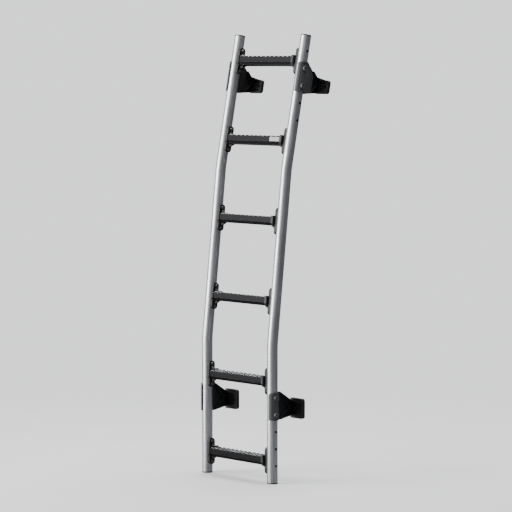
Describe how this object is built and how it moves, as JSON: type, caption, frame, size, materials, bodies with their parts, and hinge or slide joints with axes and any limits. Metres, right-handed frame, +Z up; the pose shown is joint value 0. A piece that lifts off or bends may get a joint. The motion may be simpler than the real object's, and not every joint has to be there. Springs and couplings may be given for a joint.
{
  "type": "vehicle ladder",
  "caption": "Fixed rear door ladder with bent round tube stiles, serrated treads in moulded end castings, and stand-off brackets whose feet bolt to the vehicle.",
  "frame": {"origin": "middle of the lower left foot's contact face", "axes": "+X to the right as the climber faces the ladder, +Y into the mounting surface, +Z up along the lower stiles"},
  "size_m": [0.3968, 0.2322, 1.463],
  "materials": {
    "stile_tube": "satin anodised",
    "tread": "dark anodised extrusion",
    "end_casting": "moulded glass-filled nylon",
    "bracket_arm": "moulded glass-filled nylon",
    "bracket_clamp": "satin powder coat on cast metal",
    "foot_pad": "matt rubber",
    "end_cap": "moulded"
  },
  "bodies": {
    "root": {"stile_left": "stile_tube", "stile_right": "stile_tube", "tread_1": "tread", "tread_2": "tread", "tread_3": "tread", "tread_4": "tread", "tread_5": "tread", "tread_6": "tread", "end_left_1": "end_casting", "end_left_2": "end_casting", "end_left_3": "end_casting", "end_left_4": "end_casting", "end_left_5": "end_casting", "end_left_6": "end_casting", "end_right_1": "end_casting", "end_right_2": "end_casting", "end_right_3": "end_casting", "end_right_4": "end_casting", "end_right_5": "end_casting", "end_right_6": "end_casting", "arm_lower_left": "bracket_arm", "arm_upper_left": "bracket_arm", "arm_lower_right": "bracket_arm", "arm_upper_right": "bracket_arm", "clamp_lower_left": "bracket_clamp", "clamp_upper_left": "bracket_clamp", "clamp_lower_right": "bracket_clamp", "clamp_upper_right": "bracket_clamp", "pad_lower_left": "foot_pad", "pad_upper_left": "foot_pad", "pad_lower_right": "foot_pad", "pad_upper_right": "foot_pad", "cap_top_left": "end_cap", "cap_top_right": "end_cap", "cap_foot_left": "end_cap", "cap_foot_right": "end_cap"}
  },
  "joints": []
}
